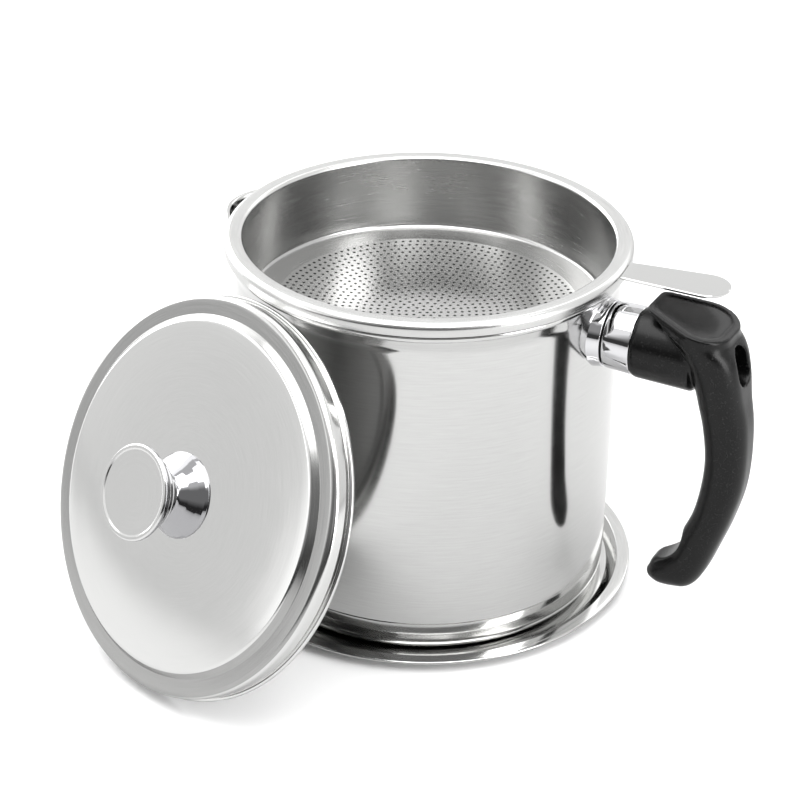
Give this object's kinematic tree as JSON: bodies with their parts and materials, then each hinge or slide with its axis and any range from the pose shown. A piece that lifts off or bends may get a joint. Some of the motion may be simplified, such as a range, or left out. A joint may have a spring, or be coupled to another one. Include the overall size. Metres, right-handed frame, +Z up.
{
  "type": "bacon grease container",
  "caption": "Steel grease keeper on a drip tray, with a lift-out perforated strainer, a domed lid leaning on its rim and a black handle with a thumb pad.",
  "frame": {"origin": "on the pot's axis, at the underside of the drip tray, which is the plane of the table", "axes": "+Z up, +X from the pot's axis towards the handle, the pouring lip on the -X side"},
  "size_m": [0.2334, 0.2192, 0.1369],
  "materials": {
    "satin_steel": "satin stainless steel",
    "brushed_lid": "stainless steel brushed in circles",
    "polished_chrome": "polished",
    "black_phenolic": "satin black phenolic resin with a fine grain",
    "black_fibre": "matt",
    "zinc_steel": "zinc plated"
  },
  "bodies": {
    "tray": {"tray": "satin_steel"},
    "pot": {"pot_shell": "satin_steel", "handle_boss": "polished_chrome", "insulator_ring": "black_fibre", "ferrule": "polished_chrome", "handle_grip": "black_phenolic", "handle_bolt": "zinc_steel", "bolt_washer": "zinc_steel"},
    "strainer": {"strainer_basket": "satin_steel", "strainer_tab": "satin_steel"},
    "lid": {"lid_shell": "brushed_lid", "knob_base": "polished_chrome", "knob_cap": "polished_chrome", "knob_screw": "zinc_steel", "knob_washer": "zinc_steel"}
  },
  "joints": [
    {"name": "pot_lift", "type": "slide", "parent": "tray", "child": "pot", "axis": [0, 0, 1], "range_m": [0, 0.09]},
    {"name": "strainer_lift", "type": "slide", "parent": "pot", "child": "strainer", "axis": [0, 0, 1], "range_m": [0, 0.06]},
    {"name": "lid_lift", "type": "slide", "parent": "tray", "child": "lid", "axis": [-0.2708, -0.7166, 0.6428], "range_m": [0, 0.12]}
  ]
}
